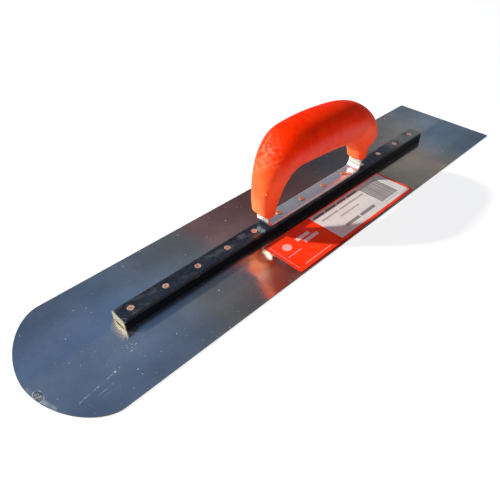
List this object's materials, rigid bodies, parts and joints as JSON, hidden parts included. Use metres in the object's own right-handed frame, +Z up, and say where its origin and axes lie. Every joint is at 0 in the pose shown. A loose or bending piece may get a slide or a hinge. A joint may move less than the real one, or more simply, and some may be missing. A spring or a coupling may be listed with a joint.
{
  "type": "steel finishing trowel",
  "caption": "Long thin steel finishing blade with a rounded toe and a square heel, a riveted mounting bar and an arched plastic handle on a bent steel strap.",
  "frame": {"origin": "centre of the blade's underside, which is also the centre of the bounding box's base", "axes": "+Z up from the blade to the handle, +Y from the rounded toe to the square heel, +X to the side that carries the label"},
  "size_m": [0.1, 0.45, 0.081],
  "materials": {
    "blade_steel": "blue-tempered, polished, fine scratches",
    "bar_paint": "black paint, scuffed",
    "strap_steel": "bright, lightly brushed",
    "handle_plastic": "satin moulded, finely mottled",
    "label_print": "printed sticker, satin",
    "rivet_copper": "copper-plated, peened"
  },
  "bodies": {
    "root": {"blade": "blade_steel", "mounting_bar": "bar_paint", "handle_strap": "strap_steel", "handle": "handle_plastic", "blade_label": "label_print", "rivet_01": "rivet_copper", "rivet_02": "rivet_copper", "rivet_03": "rivet_copper", "rivet_04": "rivet_copper", "rivet_05": "rivet_copper", "rivet_06": "rivet_copper", "rivet_07": "rivet_copper", "rivet_08": "rivet_copper", "rivet_09": "rivet_copper", "rivet_10": "rivet_copper", "rivet_11": "rivet_copper", "rivet_12": "rivet_copper", "rivet_13": "rivet_copper"}
  },
  "joints": []
}
